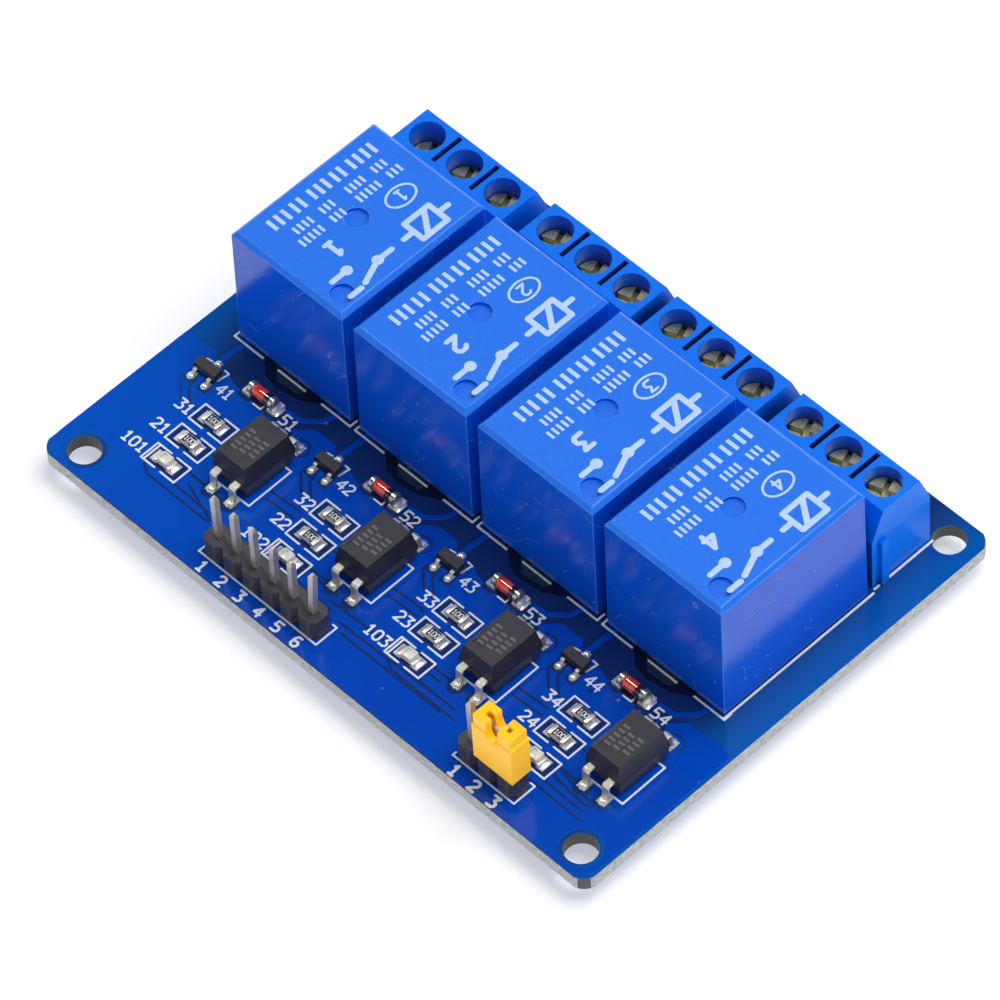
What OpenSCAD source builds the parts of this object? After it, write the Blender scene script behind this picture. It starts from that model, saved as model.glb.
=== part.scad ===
// Four-channel relay module board.
// A printed circuit board carries four changeover relays, a screw terminal block beside each
// relay, a six-way signal header, a three-way supply header with its jumper, and the driver
// of each relay in surface-mounted parts.
// Frame: origin on the underside, at the centre of the four mounting holes. +X runs along the
// row of relays from channel 1 to channel 4, +Y from the headers to the terminals, +Z up.

/* [Circuit board] */
// Length along the row of relays
board_length = 73.2; // [72.5:0.1:80]
// Width from the header edge to the terminal edge
board_width = 54.2; // [53:0.1:60]
// Thickness of the laminate
board_thickness = 1.6; // [1.2:0.1:2.4]
// Radius of the routed corners
corner_radius = 2.2; // [1:0.1:3]
// Radius of the mounting holes
mount_hole_radius = 1.7; // [1.5:0.05:1.8]
// Distance between mounting holes along X
mount_spacing_x = 66.4; // [66:0.1:67]
// Distance between mounting holes along Y
mount_spacing_y = 48.5; // [48.5:0.1:49]
// Distance from one channel to the next
channel_pitch = 16.51; // [16.4:0.01:16.8]

/* [Relays] */
// Width of a relay case along X, at its foot
relay_width = 15.2; // [15:0.1:15.4]
// Length of a relay case along Y, at its foot
relay_length = 19; // [18.6:0.1:19.2]
// Height of a relay over the board
relay_height = 15.8; // [15.6:0.1:16.4]
// Thickness of the case's walls
relay_wall = 0.8; // [0.7:0.05:0.9]
// Angle that the armature drops when the coil pulls it in
armature_travel = 3; // [2:0.5:4]

/* [Screw terminals] */
// Distance from one pole to the next
pole_pitch = 5.08; // [5:0.01:5.1]
// Height of a terminal housing over the board
terminal_height = 10; // [9.8:0.1:11]
// Radius of the screw wells
well_radius = 1.8; // [1.7:0.05:1.85]
// Depth of each screw head below the top face, pole by pole
screw_depths = [2.9, 2.4, 2.2, 2, 2.3, 1.9, 2.1, 1.8, 2.2, 1.7, 1.9, 1.6];

/* [Headers] */
// Distance from one header pin to the next
header_pitch = 2.54; // [2.54:0.01:2.54]
// Height of the header pins over the board
header_pin_height = 8.4; // [8:0.1:9]
// Width of the square header pins
header_pin_width = 0.64; // [0.6:0.02:0.68]

/* [Drivers] */
// Length and width of the chip resistors and lamps
chip_length = 2; // [1.8:0.1:2.1]
// Width of the chip resistors and lamps
chip_width = 1.25; // [1.1:0.05:1.3]
// Height of the optocouplers over the board
coupler_height = 4.1; // [3.8:0.1:4.3]

/* [Hidden] */
$fn = 48;

channels = [0:3];
function channel_x(k) = (k - 1.5) * channel_pitch;
pin_tail = 1.9;          // pins below the underside
tail_drop = board_thickness + pin_tail;
score_depth = 0.45;      // the board is snapped out of a panel along scored grooves
score_inset = 0.15;
board_shift = -0.2;      // it was snapped out a little off centre

// Relay layout, from the centre of a relay and the board's top face
relay_shift = -0.1;
relay_y = 4.8;
relay_standoff = 0.3;
relay_draft_x = 0.1;
relay_draft_y = 0.15;
relay_bevel = 0.45;
relay_inner_w = relay_width - 2 * relay_wall;
relay_inner_l = relay_length - 2 * relay_wall;
base_top = 1.6;
recess_radius = 1.2;
recess_depth = 0.5;
recess_middle = [-0.15, 0];
recess_corner = [5.45, -7.3];
contact_y = 6.6;
side_pin_x = 6;
coil_pin_y = -5.6;
common_pin_y = -7.6;
core_y = -1.8;
yoke_thick = 1.2;
yoke_half_w = 4.5;
yoke_back_y = -7.9;
pole_top = 11.2;
armature_gap = 0.05;
armature_pivot = [0, -7.3, pole_top + armature_gap];
armature_thick = 1;
leaf_thick = 0.2;
leaf_back_y = -8.45;     // the leaf is bent down behind the yoke
leaf_tail = 4;
button_radius = 0.9;
button_height = 0.4;
bobbin_half = [5, 4.2];
bobbin_flange = 0.7;
core_radius = 1.6;
tube_radius = 2.4;
winding_radius = 4.1;

// Terminal layout, from the centre of a block and the board's top face
poles = [-1:1];
// The blocks were placed by hand and sit a little off the grid
terminal_shift = [[-1.1, 0], [-0.5, 0.2], [-0.65, 0.15], [-0.5, 0]];
terminal_front_y = 15.3;
terminal_back_y = 23;
screw_y = 19.5;
terminal_length = 3 * pole_pitch;
front_break = 6.6;       // height where the face towards the relays starts to lean
back_break = 6.9;        // height where the wire face starts to lean
end_break = 6.3;         // height where the two ends start to lean
end_lean = 0.15;
top_front_y = 16.95;
top_back_y = 21.85;
frame_half_w = 1.9;
frame_front_y = 17.2;
frame_back_y = 21.8;
frame_top = 5.1;
frame_foot = 0.3;
window_low = 1;
window_high = 3.95;
window_half_w = 1.5;
thread_radius = 1.25;
slot_width = 0.55;
slot_length = 3.8;
slot_floor = 5.8;
rail_top = 6.35;
rail_width = 0.9;
rail_reach = 0.5;
rail_y = 16.58;
rail_play = 0.1;         // of a rail in the groove of the block beside it
screw_head_radius = 1.7;
screw_head_height = 1.7;
screw_shank_radius = 1.2;
screw_shank_length = 3.3;
plate_thick = 0.5;

// Header layout
header_y = -23.65;
input_header_x = -8.78;
supply_header_x = 21.27;
header_body_width = 2.5;
header_body_height = 2.54;
header_chamfer = 0.55;
header_tail = 1.5;
pin_lean = [[0, -1], [1, 1], [1, 1], [3, 5], [3, 4], [-1, 3]];  // degrees about X and Y
jumper_length = 5.05;
jumper_width = 2.45;
jumper_height = 6.4;
jumper_shoulder = 1.35;  // below the top, where the cap steps in
jumper_step = 0.13;
jumper_notch = 1.5;
jumper_notch_depth = 2.3;
jumper_slot = [3.2, 0.56];
jumper_cell = 1.55;      // square hole for one pin and its half of the clip
jumper_cell_top = 3.9;

// Driver layout, from the middle of a channel
lamp_at = [-1.75, -20];
low_resistor_at = [-1.8, -16.85];
high_resistor_at = [-1.85, -13.7];
coupler_at = [4.9, -14.65];
transistor_at = [-6.65, -9.8];
diode_at = [-0.45, -8.45];
solder_lift = 0.1;
resistor_height = 0.55;
chip_cap = 0.4;
diode_length = 3.5;
diode_radius = 0.72;
coupler_half = [2.3, 3.25];
coupler_lead_width = 0.85;
coupler_lead_at = 1.27;
coupler_mid = 2;         // height of the mould's parting line

// ---------------------------------------------------------------- placing

module on_board() translate([0, 0, board_thickness]) children();
module at_channel(k, at) translate([channel_x(k) + at[0], at[1], 0]) on_board() children();
module at_relay(k) translate([channel_x(k) + relay_shift, relay_y, 0]) on_board() children();
module at_terminal(k) {
    translate([channel_x(k) + terminal_shift[k][0], terminal_shift[k][1], 0]) on_board() children();
}
module at_pole(k, p) at_terminal(k) translate([p * pole_pitch, 0, 0]) children();

// A box from its low corner to its high corner
module span(low, high) translate(low) cube(high - low);

// A solid whose outline is one profile seen along Y and another seen along X
module two_profiles(front, side, reach) {
    intersection() {
        rotate([90, 0, 0]) linear_extrude(2 * reach, center = true) polygon(front);
        rotate([90, 0, 90]) linear_extrude(2 * reach, center = true) polygon(side);
    }
}

// ---------------------------------------------------------------- board

module scored_edges() {
    // one grooved flank, along +X at the origin, cut from the top and from the underside
    for (end = [[0, board_width / 2, board_length], [90, board_length / 2, board_width]],
         side = [0, 180], face = [0, 1])
        translate([board_shift, 0, face * board_thickness]) rotate(end[0] + side) translate([0, end[1], 0])
            mirror([0, 0, face]) rotate([90, 0, 90])
                linear_extrude(end[2] + 2, center = true)
                    polygon([[-score_inset, -0.01], [1, -0.01], [1, score_depth], [0, score_depth]]);
}

module board_outline() {
    half = [board_length, board_width] / 2 - [corner_radius, corner_radius];
    translate([board_shift, 0]) {
        square([board_length, 2 * half[1]], center = true);
        square([2 * half[0], board_width], center = true);
        for (x = [-1, 1], y = [-1, 1])
            translate([x * half[0], y * half[1]]) circle(corner_radius);
    }
}

module pin_holes() {
    for (k = channels) {
        at_relay(k) {
            for (x = [-1, 1]) {
                translate([x * side_pin_x, contact_y, 0]) drill(0.75);
                translate([x * side_pin_x, coil_pin_y, 0]) drill(0.75);
            }
            translate([0, common_pin_y, 0]) drill(0.75);
        }
        for (p = poles) at_pole(k, p) translate([0, screw_y, 0]) drill(0.7);
    }
    for (i = [0:5]) header_pin_place(input_header_x, 6, i) drill(0.5);
    for (i = [0:2]) header_pin_place(supply_header_x, 3, i) drill(0.5);
}

module drill(r) translate([0, 0, -board_thickness - 1]) cylinder(h = board_thickness + 2, r = r);

module circuit_board() {
    color([0.02, 0.2, 0.65]) difference() {
        linear_extrude(board_thickness) board_outline();
        scored_edges();
        for (x = [-1, 1], y = [-1, 1])
            translate([x * mount_spacing_x / 2, y * mount_spacing_y / 2, -1])
                cylinder(h = board_thickness + 2, r = mount_hole_radius);
        pin_holes();
    }
}

// One soldered pin end on the underside: a cone with the pin's section through it
module pin_joint(r, pin) {
    translate([0, 0, -board_thickness]) difference() {
        mirror([0, 0, 1]) cylinder(h = 1, r1 = r, r2 = 0.6 * r);
        cube([pin[0], pin[1], 4], center = true);
    }
}

module pad(size, at) {
    translate([at[0] - size[0] / 2, at[1] - size[1] / 2, 0]) cube([size[0], size[1], solder_lift]);
}

module solder_joints() {
    color([0.8, 0.8, 0.8]) {
        for (k = channels) {
            at_relay(k) {
                for (x = [-1, 1]) {
                    translate([x * side_pin_x, contact_y, 0]) pin_joint(1.3, [0.4, 1]);
                    translate([x * side_pin_x, coil_pin_y, 0]) pin_joint(1.2, [0.6, 0.6]);
                }
                translate([0, common_pin_y, 0]) pin_joint(1.3, [1, 0.6]);
            }
            for (p = poles) at_pole(k, p) translate([0, screw_y, 0]) pin_joint(1.2, [1, 0.6]);
            for (at = [lamp_at, low_resistor_at, high_resistor_at], x = [-1, 1])
                at_channel(k, at) pad([0.9, 1.4], [x * 1.1, 0]);
            for (x = [-1, 1]) at_channel(k, diode_at) difference() {
                translate([x * 1.65 - 0.5, -0.8, 0]) cube([1, 1.6, 0.35]);
                diode_axis() cylinder(h = 6, r = diode_radius, center = true);
            }
            for (x = [-1, 1], y = [-1, 1])
                at_channel(k, coupler_at) pad([1, 1.3], [x * coupler_lead_at, y * 4.3]);
            for (at = [[-0.95, -1.2], [0.95, -1.2], [0, 1.2]])
                at_channel(k, transistor_at) pad([0.7, 0.9], at);
        }
        for (i = [0:5]) header_pin_place(input_header_x, 6, i) pin_joint(0.9, header_pin_size());
        for (i = [0:2]) header_pin_place(supply_header_x, 3, i) pin_joint(0.9, header_pin_size());
    }
}

// ---------------------------------------------------------------- relays

function case_profile(half, draft, low, high, bevel) = [
    [-half, low], [half, low], [half - draft, high - bevel], [half - draft - bevel, high],
    [-half + draft + bevel, high], [-half + draft, high - bevel]];

// Moulded cover: a five-sided shell with bevelled top edges and two shallow round recesses
module relay_case(k) {
    color([0.1, 0.4, 1]) at_relay(k) difference() {
        two_profiles(
            case_profile(relay_width / 2, relay_draft_x, relay_standoff, relay_height, relay_bevel),
            case_profile(relay_length / 2, relay_draft_y, relay_standoff, relay_height, relay_bevel),
            relay_length);
        span([-relay_inner_w / 2, -relay_inner_l / 2, 0],
             [relay_inner_w / 2, relay_inner_l / 2, relay_height - relay_wall - 0.1]);
        for (at = [recess_middle, recess_corner])
            translate([at[0], at[1], relay_height - recess_depth]) cylinder(h = 1, r = recess_radius);
    }
}

// Base plate that closes the case, on four feet, pierced for the pins
module relay_bases() {
    color([0.1, 0.3, 0.8]) for (k = channels) at_relay(k) difference() {
        union() {
            span([-relay_inner_w / 2, -relay_inner_l / 2, relay_standoff],
                 [relay_inner_w / 2, relay_inner_l / 2, base_top]);
            for (x = [-1, 1], y = [-1, 1])
                translate([x * 5.5 - 0.8, y * 8 - 0.6, 0]) cube([1.6, 1.2, relay_standoff]);
        }
        for (x = [-1, 1]) {
            translate([x * side_pin_x, contact_y, 0]) cube([0.4, 1, 8], center = true);
            translate([x * side_pin_x, coil_pin_y, 0]) cube([0.6, 0.6, 8], center = true);
        }
        translate([0, common_pin_y, 0]) cube([1, 0.6, 8], center = true);
    }
}

// Iron circuit: an L-shaped yoke whose tail is the common pin, with the core riveted to it
module relay_yokes() {
    color([0.75, 0.75, 0.72]) for (k = channels) at_relay(k) {
        span([-yoke_half_w, yoke_back_y, base_top],
             [yoke_half_w, yoke_back_y + yoke_thick, pole_top]);
        span([-yoke_half_w, yoke_back_y, base_top], [yoke_half_w, 3, base_top + yoke_thick]);
        translate([0, core_y, base_top]) cylinder(h = pole_top - base_top, r = core_radius);
        translate([0, core_y, pole_top - 0.6]) cylinder(h = 0.6, r = 2.6);
        span([-0.5, common_pin_y - 0.3, -tail_drop], [0.5, common_pin_y + 0.3, base_top]);
    }
}

module relay_bobbins() {
    low = base_top + yoke_thick;
    high = pole_top - 0.6;
    color([0.15, 0.15, 0.15]) for (k = channels) at_relay(k) translate([0, core_y, 0])
        difference() {
            union() {
                for (z = [low, high - bobbin_flange])
                    translate([-bobbin_half[0], -bobbin_half[1], z])
                        cube([2 * bobbin_half[0], 2 * bobbin_half[1], bobbin_flange]);
                translate([0, 0, low]) cylinder(h = high - low, r = tube_radius);
            }
            translate([0, 0, low - 1]) cylinder(h = high - low + 2, r = core_radius + 0.05);
        }
}

module relay_windings() {
    low = base_top + yoke_thick + bobbin_flange;
    high = pole_top - 0.6 - bobbin_flange;
    color([0.75, 0.4, 0.15]) for (k = channels) at_relay(k) translate([0, core_y, low])
        difference() {
            cylinder(h = high - low, r = winding_radius);
            translate([0, 0, -1]) cylinder(h = high - low + 2, r = tube_radius + 0.02);
        }
}

// Fixed contacts: the lower one makes when the armature pulls in, the upper one breaks
module fixed_contact(side, tab_low, button_low) {
    tab_thick = 0.3;
    span([-0.2, contact_y - 0.5, -tail_drop] + [side * side_pin_x, 0, 0],
         [0.2, contact_y + 0.5, tab_low] + [side * side_pin_x, 0, 0]);
    span([min(side * (side_pin_x + 0.2), -side), contact_y - 0.8, tab_low],
         [max(side * (side_pin_x + 0.2), -side), contact_y + 0.8, tab_low + tab_thick]);
    translate([0, contact_y, button_low]) cylinder(h = button_height, r = button_radius);
}

module relay_fixed_contacts() {
    travel = 13.9 * sin(armature_travel);
    make_top = moving_button_low() - armature_gap;
    break_low = moving_button_low() + 2 * button_height + travel + armature_gap;
    color([0.8, 0.65, 0.4]) for (k = channels) at_relay(k) {
        fixed_contact(-1, make_top - button_height - 0.3, make_top - button_height);
        fixed_contact(1, break_low + button_height, break_low);
    }
}

module relay_coil_pins() {
    color([0.8, 0.8, 0.8]) for (k = channels, x = [-1, 1]) at_relay(k)
        span([x * side_pin_x - 0.3, coil_pin_y - 0.3, -tail_drop],
             [x * side_pin_x + 0.3, coil_pin_y + 0.3, base_top + 0.8]);
}

function moving_button_low() = armature_pivot[2] + armature_thick + leaf_thick / 2 - button_height;

// Armature with its contact leaf, drawn pulled in and then let up by its travel
module relay_armature(k) {
    color([0.7, 0.7, 0.7]) at_relay(k) translate(armature_pivot) rotate([armature_travel, 0, 0])
        translate(-armature_pivot) {
            span([-4, -7.6, armature_pivot[2]], [4, 2, armature_pivot[2] + armature_thick]);
            translate([0, 0, armature_pivot[2] + armature_thick]) {
                span([-1.6, leaf_back_y, 0], [1.6, 7.4, leaf_thick]);
                span([-1.6, leaf_back_y, -leaf_tail], [1.6, leaf_back_y + leaf_thick, 0]);
                for (x = [-0.8, 0.8]) translate([x, -3.5, 0]) cylinder(h = 0.5, r = 0.5);
            }
            translate([0, contact_y, moving_button_low()])
                cylinder(h = 2 * button_height, r = button_radius);
        }
}

// ---------------------------------------------------------------- screw terminals

function terminal_profile() = [
    [terminal_front_y, 0], [terminal_back_y, 0], [terminal_back_y, back_break],
    [top_back_y, terminal_height], [top_front_y, terminal_height],
    [terminal_front_y, front_break]];

module rail(play) {
    span([-play, rail_y - rail_width / 2 - play, -play],
         [rail_reach + play, rail_y + rail_width / 2 + play, rail_top + play]);
}

// Moulded housing of three poles; a rail on one end fits the groove of the block beside it
module terminal_housing(k) {
    half = terminal_length / 2;
    ends = [[-half, 0], [half, 0], [half, end_break], [half - end_lean, terminal_height],
            [-half + end_lean, terminal_height], [-half, end_break]];
    color([0.1, 0.45, 1]) at_terminal(k) difference() {
        union() {
            two_profiles(ends, terminal_profile(), 2 * terminal_back_y);
            translate([half, 0, 0]) rail(0);
        }
        translate([-half, 0, 0]) rail(rail_play);
        for (p = poles) translate([p * pole_pitch, 0, 0]) {
            translate([0, screw_y, 1]) cylinder(h = terminal_height, r = well_radius);
            span([-frame_half_w - 0.05, frame_front_y - 0.05, -1],
                 [frame_half_w + 0.05, frame_back_y + 0.05, frame_top]);
            span([-window_half_w, frame_back_y - 1, window_low],
                 [window_half_w, terminal_back_y + 1, window_high]);
        }
        for (x = [-0.5, 0.5]) translate([x * pole_pitch, screw_y + 0.1, slot_floor])
            translate([-slot_width / 2, -slot_length / 2, 0])
                cube([slot_width, slot_length, terminal_height]);
    }
}

// Box frames with a tapped top wall; each one's pin is soldered into the board
module terminal_frames() {
    color([0.85, 0.85, 0.82]) for (k = channels, p = poles) at_pole(k, p) difference() {
        union() {
            span([-frame_half_w, frame_front_y, frame_foot], [frame_half_w, frame_back_y, frame_top]);
            span([-0.5, screw_y - 0.3, -tail_drop], [0.5, screw_y + 0.3, frame_foot]);
        }
        span([-window_half_w, frame_front_y - 1, window_low],
             [window_half_w, frame_back_y + 1, window_high]);
        translate([0, screw_y, window_high - 1]) cylinder(h = 3, r = thread_radius);
    }
}

function pole_index(k, p) = 3 * k + p + 1;
function screw_tip(n) = terminal_height - screw_depths[n] - screw_head_height - screw_shank_length;

// Plate that the screw presses down on the wire
module clamp_plate(k, p) {
    tip = screw_tip(pole_index(k, p));
    color([0.8, 0.8, 0.8]) at_pole(k, p)
        span([-window_half_w + 0.15, frame_front_y + 0.2, tip - plate_thick],
             [window_half_w - 0.15, frame_back_y - 0.2, tip]);
}

// Pan-headed screw with crossed slots
module terminal_screw(k, p) {
    tip = screw_tip(pole_index(k, p)) + 0.02;
    color([0.75, 0.75, 0.72]) at_pole(k, p) translate([0, screw_y, tip]) difference() {
        union() {
            cylinder(h = screw_shank_length + 0.5, r = screw_shank_radius);
            translate([0, 0, screw_shank_length]) cylinder(h = screw_head_height, r = screw_head_radius);
        }
        for (turn = [20, 110]) rotate(turn)
            translate([-2, -0.3, screw_shank_length + screw_head_height - 0.8]) cube([4, 0.6, 1]);
    }
}

// ---------------------------------------------------------------- headers

function header_pin_size() = [header_pin_width, header_pin_width];

module header_pin_place(middle, ways, i)
    translate([middle + (i - (ways - 1) / 2) * header_pitch, header_y, 0]) on_board() children();

// Housing: a row of eight-sided cells moulded in one piece
module header_housing(middle, ways) {
    h = header_pitch / 2;
    w = header_body_width / 2;
    c = header_chamfer;
    color([0.12, 0.12, 0.13]) for (i = [0:ways - 1]) header_pin_place(middle, ways, i)
        difference() {
            linear_extrude(header_body_height) polygon([
                [-h, -w + c], [-h + c, -w], [h - c, -w], [h, -w + c],
                [h, w - c], [h - c, w], [-h + c, w], [-h, w - c]]);
            cube([header_pin_width, header_pin_width, 8], center = true);
        }
}

// Square pin with a tapered tip; above the housing it may lean a little
module header_pin(lean) {
    r = header_pin_width / 2;
    low = -board_thickness - header_tail;
    rise = header_pin_height - header_body_height;
    side = [[-r, -0.5], [r, -0.5], [r, rise - 0.4], [0.45 * r, rise], [-0.45 * r, rise], [-r, rise - 0.4]];
    span([-r, -r, low], [r, r, header_body_height]);
    translate([0, 0, header_body_height]) rotate([lean[0], lean[1], 0]) difference() {
        two_profiles(side, side, header_pin_height);
        if (lean[0] != 0 || lean[1] != 0) rotate([-lean[0], 0, 0])
            translate([0, 0, -2]) cube([4, 4, 4], center = true);
    }
}

module header_pins(middle, ways, leans) {
    color([0.85, 0.82, 0.75]) for (i = [0:ways - 1])
        header_pin_place(middle, ways, i) header_pin(leans[i]);
}

module at_jumper()
    translate([supply_header_x + header_pitch / 2, header_y, header_body_height]) on_board() children();

// Cap over pins 2 and 3, with a stepped top, a round-bottomed notch and a slot for the clip;
// the square cells for the clip narrow to a hole that clears each pin's end
module jumper_cap() {
    l = jumper_length / 2;
    w = jumper_width / 2;
    h = jumper_height;
    low = h - jumper_shoulder;
    s = jumper_step;
    r = jumper_notch / 2;
    pin = header_pin_width / 2 + 0.04;
    color([1, 0.7, 0.15]) at_jumper() difference() {
        two_profiles(
            [[-l, 0], [l, 0], [l, low - s], [l - s, low], [l - s, h], [-l + s, h],
             [-l + s, low], [-l, low - s]],
            [[-w, 0], [w, 0], [w, low - s], [w - s, low], [w - s, h], [-w + s, h],
             [-w + s, low], [-w, low - s]],
            jumper_length);
        translate([0, 0, h - jumper_notch_depth + r]) {
            rotate([90, 0, 0]) cylinder(h = 2 * jumper_width, r = r, center = true);
            span([-r, -jumper_width, 0], [r, jumper_width, jumper_notch_depth]);
        }
        span([-jumper_slot[0] / 2, -jumper_slot[1] / 2, 1], [jumper_slot[0] / 2, jumper_slot[1] / 2, h + 1]);
        for (x = [-1, 1]) translate([x * header_pitch / 2, 0, -1]) {
            translate([-jumper_cell / 2, -jumper_cell / 2, 0])
                cube([jumper_cell, jumper_cell, jumper_cell_top + 1]);
            span([-pin, -pin, 0], [pin, pin, header_pin_height - header_body_height + 1.1]);
        }
    }
}

// Spring clip: a folded box round each pin, and a strip on edge that joins the boxes
module jumper_clip() {
    inner = header_pin_width / 2 + 0.03;
    outer = inner + 0.2;
    end = header_pitch / 2 - outer + 0.05;
    color([0.85, 0.85, 0.8]) at_jumper() {
        span([-end, -0.12, jumper_cell_top - 0.3], [end, 0.12, jumper_height - jumper_shoulder]);
        for (x = [-1, 1]) translate([x * header_pitch / 2, 0, 0]) difference() {
            span([-outer, -outer, 0.3], [outer, outer, jumper_cell_top]);
            span([-inner, -inner, 0], [inner, inner, jumper_height]);
        }
    }
}

// ---------------------------------------------------------------- drivers

function coupler_profile(half, top_inset) = [
    [-half + 0.25, 0.3], [half - 0.25, 0.3], [half, coupler_mid],
    [half - top_inset, coupler_height], [-half + top_inset, coupler_height],
    [-half, coupler_mid]];

module optocouplers() {
    color([0.1, 0.1, 0.11]) for (k = channels) at_channel(k, coupler_at) difference() {
        two_profiles(coupler_profile(coupler_half[0], 0.45), coupler_profile(coupler_half[1], 0.4), 8);
        translate([-1.05, -1.9, coupler_height - 0.1]) cylinder(h = 1, r = 0.5);
    }
}

// Gull-wing leads: out of the parting line, down, and out along the board
module optocoupler_leads() {
    out = coupler_half[1];
    top = coupler_mid + 0.12;
    foot = solder_lift;
    path = [[out - 0.4, top - 0.25], [out + 0.62, top - 0.25], [out + 0.72, top - 0.35],
            [out + 0.8, foot + 0.15], [out + 0.95, foot], [out + 1.55, foot],
            [out + 1.55, foot + 0.25], [out + 1.15, foot + 0.25], [out + 1.05, foot + 0.35],
            [out + 0.97, top - 0.25], [out + 0.72, top], [out - 0.4, top]];
    color([0.85, 0.85, 0.85]) for (k = channels, side = [0, 180], x = [-1, 1])
        at_channel(k, coupler_at) difference() {
            rotate(side) translate([x * coupler_lead_at, 0, 0]) rotate([90, 0, 90])
                linear_extrude(coupler_lead_width, center = true) polygon(path);
            two_profiles(coupler_profile(coupler_half[0], 0.45),
                         coupler_profile(coupler_half[1], 0.4), 8);
        }
}

module transistors() {
    front = [[-1.45, 0.6], [-1.35, 0.12], [1.35, 0.12], [1.45, 0.6], [1.35, 1.1], [-1.35, 1.1]];
    side = [[-0.65, 0.6], [-0.58, 0.12], [0.58, 0.12], [0.65, 0.6], [0.55, 1.1], [-0.55, 1.1]];
    color([0.1, 0.1, 0.11]) for (k = channels) at_channel(k, transistor_at)
        two_profiles(front, side, 4);
}

module transistor_leads() {
    path = [[0.65, 0.48], [0.85, 0.48], [0.95, solder_lift], [1.35, solder_lift],
            [1.35, 0.22], [1.08, 0.22], [0.98, 0.62], [0.65, 0.62]];
    color([0.85, 0.85, 0.85]) for (k = channels) at_channel(k, transistor_at)
        for (lead = [[-0.95, 180], [0.95, 180], [0, 0]])
            translate([lead[0], 0, 0]) rotate(lead[1]) rotate([90, 0, 90])
                linear_extrude(0.42, center = true) polygon(path);
}

module diode_axis() translate([0, 0, diode_radius + 0.05]) rotate([0, 90, 0]) children();

// Glass diodes with a metal cap at each end
module diodes() {
    cap = 0.45;
    color([0.75, 0.15, 0.05]) for (k = channels) at_channel(k, diode_at) diode_axis() {
        cylinder(h = diode_length - cap, r = diode_radius - 0.05, center = true);
        for (side = [-1, 1]) translate([0, 0, side * (diode_length - cap) / 2])
            cylinder(h = cap, r = diode_radius, center = true);
    }
}

module resistors() {
    color([0.1, 0.1, 0.1]) for (k = channels, at = [low_resistor_at, high_resistor_at])
        at_channel(k, at) translate([0, 0, solder_lift]) {
            translate([0, 0, resistor_height / 2])
                cube([chip_length - 0.2, chip_width - 0.06, resistor_height - 0.06], center = true);
            for (side = [-1, 1])
                translate([side * (chip_length - chip_cap) / 2, 0, resistor_height / 2])
                    cube([chip_cap, chip_width, resistor_height], center = true);
        }
}

module indicator_lamps() {
    l = chip_length / 2;
    w = chip_width / 2;
    color([0.85, 0.85, 0.75]) for (k = channels) at_channel(k, lamp_at)
        translate([0, 0, solder_lift]) {
            translate([-l, -w, 0]) cube([chip_length, chip_width, 0.3]);
            two_profiles([[-0.65, 0.1], [0.65, 0.1], [0.6, 0.75], [-0.6, 0.75]],
                         [[-w, 0.1], [w, 0.1], [w - 0.06, 0.75], [-w + 0.06, 0.75]], 2);
        }
}

// ---------------------------------------------------------------- nodes

circuit_board();
solder_joints();
for (k = channels) {
    relay_case(k);
    relay_armature(k);
    terminal_housing(k);
    for (p = poles) {
        clamp_plate(k, p);
        terminal_screw(k, p);
    }
}
relay_bases();
relay_yokes();
relay_bobbins();
relay_windings();
relay_fixed_contacts();
relay_coil_pins();
terminal_frames();
header_housing(input_header_x, 6);  // input_header_housing
header_pins(input_header_x, 6, pin_lean);  // input_header_pins
header_housing(supply_header_x, 3);  // supply_header_housing
header_pins(supply_header_x, 3, [for (i = [0:2]) [0, 0]]);  // supply_header_pins
jumper_cap();
jumper_clip();
optocouplers();
optocoupler_leads();
transistors();
transistor_leads();
diodes();
resistors();
indicator_lamps();
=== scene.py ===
import math
import bmesh
import bpy
from mathutils import Matrix, Vector
from mathutils.geometry import delaunay_2d_cdt


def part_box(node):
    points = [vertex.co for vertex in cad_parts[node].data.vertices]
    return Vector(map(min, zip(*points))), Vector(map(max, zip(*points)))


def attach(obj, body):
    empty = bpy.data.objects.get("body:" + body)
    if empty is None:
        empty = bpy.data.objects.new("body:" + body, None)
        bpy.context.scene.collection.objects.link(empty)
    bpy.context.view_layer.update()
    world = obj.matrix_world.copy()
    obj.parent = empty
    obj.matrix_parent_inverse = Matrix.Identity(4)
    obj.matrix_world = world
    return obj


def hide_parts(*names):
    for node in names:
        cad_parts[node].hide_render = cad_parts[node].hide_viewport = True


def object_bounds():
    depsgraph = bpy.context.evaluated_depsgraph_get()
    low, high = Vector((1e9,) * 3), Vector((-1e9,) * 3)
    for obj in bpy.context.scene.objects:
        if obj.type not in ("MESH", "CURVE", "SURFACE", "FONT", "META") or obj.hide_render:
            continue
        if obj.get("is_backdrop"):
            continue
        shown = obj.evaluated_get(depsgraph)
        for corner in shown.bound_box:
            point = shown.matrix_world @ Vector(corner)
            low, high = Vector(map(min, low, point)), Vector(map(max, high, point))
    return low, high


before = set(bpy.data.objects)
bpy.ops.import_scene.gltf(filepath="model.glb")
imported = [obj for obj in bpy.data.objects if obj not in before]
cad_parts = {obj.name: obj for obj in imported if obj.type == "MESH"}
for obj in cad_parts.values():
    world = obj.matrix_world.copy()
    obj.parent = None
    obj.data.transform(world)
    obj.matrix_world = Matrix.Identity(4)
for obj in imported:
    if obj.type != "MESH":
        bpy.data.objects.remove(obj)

cad_low, cad_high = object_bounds()
mm = 0.001

# ---- Table, light and lens
# The board stands on its pin ends on a white table. A soft lamp hangs over the far side of it,
# the walls are bright and the ceiling is dim, and a long lens looks down over the near corner.


def card(red, green, blue):
    """Linear colour from the 0 to 255 values on a colour card."""
    steps = [value / 255 for value in (red, green, blue)]
    return [s / 12.92 if s <= 0.04045 else ((s + 0.055) / 1.055) ** 2.4 for s in steps] + [1]


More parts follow.
